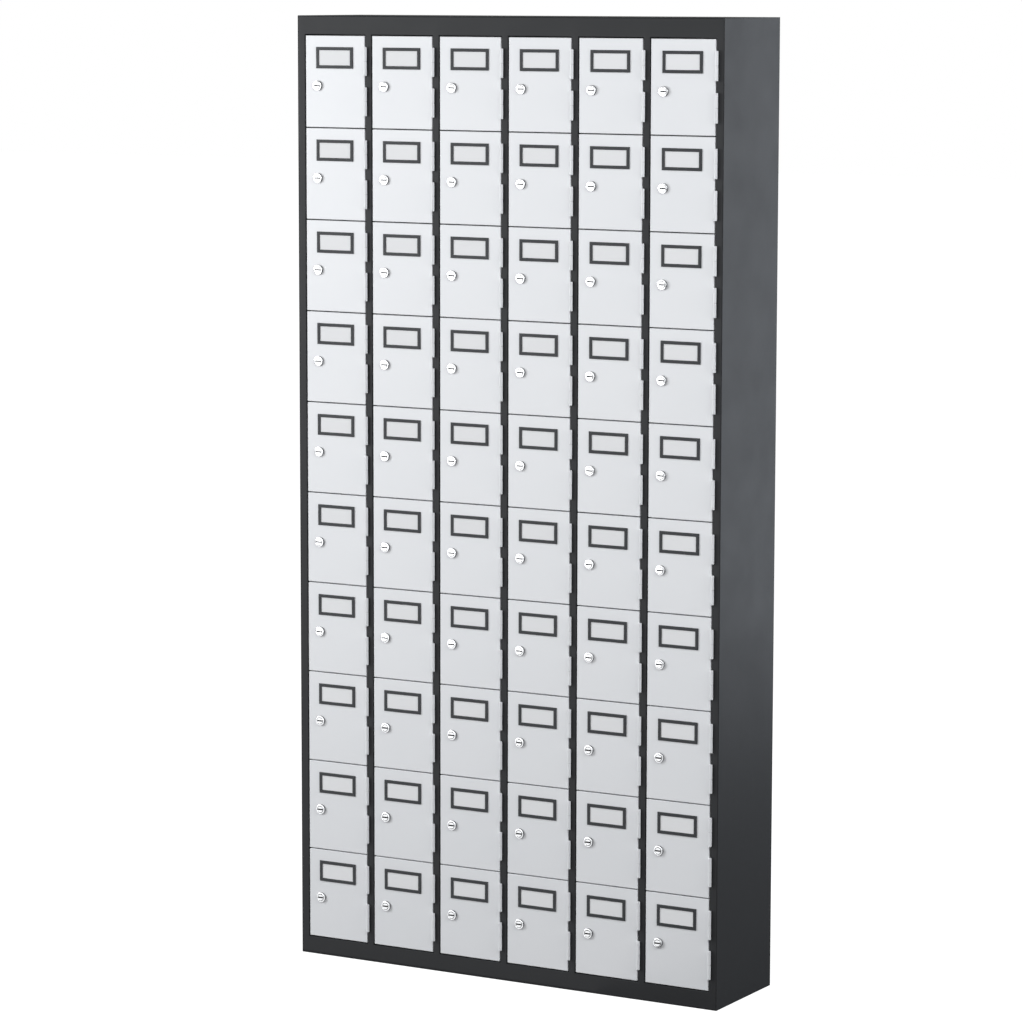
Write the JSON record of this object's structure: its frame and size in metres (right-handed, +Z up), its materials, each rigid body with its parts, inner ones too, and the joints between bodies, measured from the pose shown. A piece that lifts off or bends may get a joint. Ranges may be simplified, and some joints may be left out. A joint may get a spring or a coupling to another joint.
{
  "type": "parcel locker",
  "caption": "Tall shallow steel locker with a grid of small side-hinged doors, each with a card holder and a cam lock, over separate compartments for small parcels or mail.",
  "frame": {"origin": "centre of the underside of the base panel", "axes": "+X to the right along the front, +Y from the front to the back, +Z up"},
  "size_m": [0.914, 0.2321, 1.83],
  "materials": {
    "carcass_paint": "fine-textured charcoal powder coat, semi-matt",
    "door_paint": "smooth light grey powder coat, satin",
    "holder_plastic": "fine-grained dark grey moulding",
    "card": "uncoated white card, blank",
    "lock_chrome": "bright nickel-chrome plate",
    "plated_steel": "zinc-plated steel"
  },
  "bodies": {
    "root": {"base_panel": "carcass_paint", "top_panel": "carcass_paint", "side_panels": "carcass_paint", "back_panel": "carcass_paint", "frame_rails": "carcass_paint", "frame_stiles": "carcass_paint", "partitions": "carcass_paint", "shelves": "carcass_paint", "frame_hinge_halves": "door_paint", "hinge_pins": "plated_steel"},
    "door_c3_r5": {"door_panel": "door_paint", "card_holder": "holder_plastic", "card_insert": "card", "lock_housing": "lock_chrome", "lock_nut": "plated_steel", "door_hinge_halves": "door_paint"},
    "lock_c3_r5": {"lock_plug": "lock_chrome", "lock_cam": "plated_steel", "cam_screw": "plated_steel"},
    "door_c1_r3": {"door_c1_r3": "door_paint"},
    "door_c1_r4": {"door_c1_r4": "door_paint"},
    "door_c1_r5": {"door_c1_r5": "door_paint"},
    "door_c1_r6": {"door_c1_r6": "door_paint"},
    "door_c1_r7": {"door_c1_r7": "door_paint"},
    "door_c1_r8": {"door_c1_r8": "door_paint"},
    "end_doors_c1": {"end_doors_c1": "door_paint"},
    "door_c2_r3": {"door_c2_r3": "door_paint"},
    "door_c2_r4": {"door_c2_r4": "door_paint"},
    "door_c2_r5": {"door_c2_r5": "door_paint"},
    "door_c2_r6": {"door_c2_r6": "door_paint"},
    "door_c2_r7": {"door_c2_r7": "door_paint"},
    "door_c2_r8": {"door_c2_r8": "door_paint"},
    "end_doors_c2": {"end_doors_c2": "door_paint"},
    "door_c3_r3": {"door_c3_r3": "door_paint"},
    "door_c3_r4": {"door_c3_r4": "door_paint"},
    "door_c3_r6": {"door_c3_r6": "door_paint"},
    "door_c3_r7": {"door_c3_r7": "door_paint"},
    "door_c3_r8": {"door_c3_r8": "door_paint"},
    "end_doors_c3": {"end_doors_c3": "door_paint"},
    "door_c4_r3": {"door_c4_r3": "door_paint"},
    "door_c4_r4": {"door_c4_r4": "door_paint"},
    "door_c4_r5": {"door_c4_r5": "door_paint"},
    "door_c4_r6": {"door_c4_r6": "door_paint"},
    "door_c4_r7": {"door_c4_r7": "door_paint"},
    "door_c4_r8": {"door_c4_r8": "door_paint"},
    "end_doors_c4": {"end_doors_c4": "door_paint"},
    "door_c5_r3": {"door_c5_r3": "door_paint"},
    "door_c5_r4": {"door_c5_r4": "door_paint"},
    "door_c5_r5": {"door_c5_r5": "door_paint"},
    "door_c5_r6": {"door_c5_r6": "door_paint"},
    "door_c5_r7": {"door_c5_r7": "door_paint"},
    "door_c5_r8": {"door_c5_r8": "door_paint"},
    "end_doors_c5": {"end_doors_c5": "door_paint"},
    "door_c6_r3": {"door_c6_r3": "door_paint"},
    "door_c6_r4": {"door_c6_r4": "door_paint"},
    "door_c6_r5": {"door_c6_r5": "door_paint"},
    "door_c6_r6": {"door_c6_r6": "door_paint"},
    "door_c6_r7": {"door_c6_r7": "door_paint"},
    "door_c6_r8": {"door_c6_r8": "door_paint"},
    "end_doors_c6": {"end_doors_c6": "door_paint"}
  },
  "joints": [
    {"name": "door_c3_r5_hinge", "type": "hinge", "parent": "root", "child": "door_c3_r5", "pos_m": [-0.00485, -0.11625, 1.0019], "axis": [0, 0, 1], "range_deg": [0, 110]},
    {"name": "lock_c3_r5_turn", "type": "hinge", "parent": "door_c3_r5", "child": "lock_c3_r5", "pos_m": [-0.11319, -0.1125, 0.9938], "axis": [0, 1, 0], "range_deg": [0, 90]},
    {"name": "door_c1_r3_hinge", "type": "hinge", "parent": "root", "child": "door_c1_r3", "pos_m": [-0.30325, -0.11625, 1.3535], "axis": [0, 0, 1], "range_deg": [0, 110]},
    {"name": "door_c1_r4_hinge", "type": "hinge", "parent": "root", "child": "door_c1_r4", "pos_m": [-0.30325, -0.11625, 1.1777], "axis": [0, 0, 1], "range_deg": [0, 110]},
    {"name": "door_c1_r5_hinge", "type": "hinge", "parent": "root", "child": "door_c1_r5", "pos_m": [-0.30325, -0.11625, 1.0019], "axis": [0, 0, 1], "range_deg": [0, 110]},
    {"name": "door_c1_r6_hinge", "type": "hinge", "parent": "root", "child": "door_c1_r6", "pos_m": [-0.30325, -0.11625, 0.8261], "axis": [0, 0, 1], "range_deg": [0, 110]},
    {"name": "door_c1_r7_hinge", "type": "hinge", "parent": "root", "child": "door_c1_r7", "pos_m": [-0.30325, -0.11625, 0.6503], "axis": [0, 0, 1], "range_deg": [0, 110]},
    {"name": "door_c1_r8_hinge", "type": "hinge", "parent": "root", "child": "door_c1_r8", "pos_m": [-0.30325, -0.11625, 0.4745], "axis": [0, 0, 1], "range_deg": [0, 110]},
    {"name": "end_doors_c1_hinge", "type": "hinge", "parent": "root", "child": "end_doors_c1", "pos_m": [-0.30325, -0.11625, 0.915], "axis": [0, 0, 1], "range_deg": [0, 110]},
    {"name": "door_c2_r3_hinge", "type": "hinge", "parent": "root", "child": "door_c2_r3", "pos_m": [-0.15405, -0.11625, 1.3535], "axis": [0, 0, 1], "range_deg": [0, 110]},
    {"name": "door_c2_r4_hinge", "type": "hinge", "parent": "root", "child": "door_c2_r4", "pos_m": [-0.15405, -0.11625, 1.1777], "axis": [0, 0, 1], "range_deg": [0, 110]},
    {"name": "door_c2_r5_hinge", "type": "hinge", "parent": "root", "child": "door_c2_r5", "pos_m": [-0.15405, -0.11625, 1.0019], "axis": [0, 0, 1], "range_deg": [0, 110]},
    {"name": "door_c2_r6_hinge", "type": "hinge", "parent": "root", "child": "door_c2_r6", "pos_m": [-0.15405, -0.11625, 0.8261], "axis": [0, 0, 1], "range_deg": [0, 110]},
    {"name": "door_c2_r7_hinge", "type": "hinge", "parent": "root", "child": "door_c2_r7", "pos_m": [-0.15405, -0.11625, 0.6503], "axis": [0, 0, 1], "range_deg": [0, 110]},
    {"name": "door_c2_r8_hinge", "type": "hinge", "parent": "root", "child": "door_c2_r8", "pos_m": [-0.15405, -0.11625, 0.4745], "axis": [0, 0, 1], "range_deg": [0, 110]},
    {"name": "end_doors_c2_hinge", "type": "hinge", "parent": "root", "child": "end_doors_c2", "pos_m": [-0.15405, -0.11625, 0.915], "axis": [0, 0, 1], "range_deg": [0, 110]},
    {"name": "door_c3_r3_hinge", "type": "hinge", "parent": "root", "child": "door_c3_r3", "pos_m": [-0.00485, -0.11625, 1.3535], "axis": [0, 0, 1], "range_deg": [0, 110]},
    {"name": "door_c3_r4_hinge", "type": "hinge", "parent": "root", "child": "door_c3_r4", "pos_m": [-0.00485, -0.11625, 1.1777], "axis": [0, 0, 1], "range_deg": [0, 110]},
    {"name": "door_c3_r6_hinge", "type": "hinge", "parent": "root", "child": "door_c3_r6", "pos_m": [-0.00485, -0.11625, 0.8261], "axis": [0, 0, 1], "range_deg": [0, 110]},
    {"name": "door_c3_r7_hinge", "type": "hinge", "parent": "root", "child": "door_c3_r7", "pos_m": [-0.00485, -0.11625, 0.6503], "axis": [0, 0, 1], "range_deg": [0, 110]},
    {"name": "door_c3_r8_hinge", "type": "hinge", "parent": "root", "child": "door_c3_r8", "pos_m": [-0.00485, -0.11625, 0.4745], "axis": [0, 0, 1], "range_deg": [0, 110]},
    {"name": "end_doors_c3_hinge", "type": "hinge", "parent": "root", "child": "end_doors_c3", "pos_m": [-0.00485, -0.11625, 0.915], "axis": [0, 0, 1], "range_deg": [0, 110]},
    {"name": "door_c4_r3_hinge", "type": "hinge", "parent": "root", "child": "door_c4_r3", "pos_m": [0.14435, -0.11625, 1.3535], "axis": [0, 0, 1], "range_deg": [0, 110]},
    {"name": "door_c4_r4_hinge", "type": "hinge", "parent": "root", "child": "door_c4_r4", "pos_m": [0.14435, -0.11625, 1.1777], "axis": [0, 0, 1], "range_deg": [0, 110]},
    {"name": "door_c4_r5_hinge", "type": "hinge", "parent": "root", "child": "door_c4_r5", "pos_m": [0.14435, -0.11625, 1.0019], "axis": [0, 0, 1], "range_deg": [0, 110]},
    {"name": "door_c4_r6_hinge", "type": "hinge", "parent": "root", "child": "door_c4_r6", "pos_m": [0.14435, -0.11625, 0.8261], "axis": [0, 0, 1], "range_deg": [0, 110]},
    {"name": "door_c4_r7_hinge", "type": "hinge", "parent": "root", "child": "door_c4_r7", "pos_m": [0.14435, -0.11625, 0.6503], "axis": [0, 0, 1], "range_deg": [0, 110]},
    {"name": "door_c4_r8_hinge", "type": "hinge", "parent": "root", "child": "door_c4_r8", "pos_m": [0.14435, -0.11625, 0.4745], "axis": [0, 0, 1], "range_deg": [0, 110]},
    {"name": "end_doors_c4_hinge", "type": "hinge", "parent": "root", "child": "end_doors_c4", "pos_m": [0.14435, -0.11625, 0.915], "axis": [0, 0, 1], "range_deg": [0, 110]},
    {"name": "door_c5_r3_hinge", "type": "hinge", "parent": "root", "child": "door_c5_r3", "pos_m": [0.29355, -0.11625, 1.3535], "axis": [0, 0, 1], "range_deg": [0, 110]},
    {"name": "door_c5_r4_hinge", "type": "hinge", "parent": "root", "child": "door_c5_r4", "pos_m": [0.29355, -0.11625, 1.1777], "axis": [0, 0, 1], "range_deg": [0, 110]},
    {"name": "door_c5_r5_hinge", "type": "hinge", "parent": "root", "child": "door_c5_r5", "pos_m": [0.29355, -0.11625, 1.0019], "axis": [0, 0, 1], "range_deg": [0, 110]},
    {"name": "door_c5_r6_hinge", "type": "hinge", "parent": "root", "child": "door_c5_r6", "pos_m": [0.29355, -0.11625, 0.8261], "axis": [0, 0, 1], "range_deg": [0, 110]},
    {"name": "door_c5_r7_hinge", "type": "hinge", "parent": "root", "child": "door_c5_r7", "pos_m": [0.29355, -0.11625, 0.6503], "axis": [0, 0, 1], "range_deg": [0, 110]},
    {"name": "door_c5_r8_hinge", "type": "hinge", "parent": "root", "child": "door_c5_r8", "pos_m": [0.29355, -0.11625, 0.4745], "axis": [0, 0, 1], "range_deg": [0, 110]},
    {"name": "end_doors_c5_hinge", "type": "hinge", "parent": "root", "child": "end_doors_c5", "pos_m": [0.29355, -0.11625, 0.915], "axis": [0, 0, 1], "range_deg": [0, 110]},
    {"name": "door_c6_r3_hinge", "type": "hinge", "parent": "root", "child": "door_c6_r3", "pos_m": [0.44275, -0.11625, 1.3535], "axis": [0, 0, 1], "range_deg": [0, 110]},
    {"name": "door_c6_r4_hinge", "type": "hinge", "parent": "root", "child": "door_c6_r4", "pos_m": [0.44275, -0.11625, 1.1777], "axis": [0, 0, 1], "range_deg": [0, 110]},
    {"name": "door_c6_r5_hinge", "type": "hinge", "parent": "root", "child": "door_c6_r5", "pos_m": [0.44275, -0.11625, 1.0019], "axis": [0, 0, 1], "range_deg": [0, 110]},
    {"name": "door_c6_r6_hinge", "type": "hinge", "parent": "root", "child": "door_c6_r6", "pos_m": [0.44275, -0.11625, 0.8261], "axis": [0, 0, 1], "range_deg": [0, 110]},
    {"name": "door_c6_r7_hinge", "type": "hinge", "parent": "root", "child": "door_c6_r7", "pos_m": [0.44275, -0.11625, 0.6503], "axis": [0, 0, 1], "range_deg": [0, 110]},
    {"name": "door_c6_r8_hinge", "type": "hinge", "parent": "root", "child": "door_c6_r8", "pos_m": [0.44275, -0.11625, 0.4745], "axis": [0, 0, 1], "range_deg": [0, 110]},
    {"name": "end_doors_c6_hinge", "type": "hinge", "parent": "root", "child": "end_doors_c6", "pos_m": [0.44275, -0.11625, 0.915], "axis": [0, 0, 1], "range_deg": [0, 110]}
  ]
}
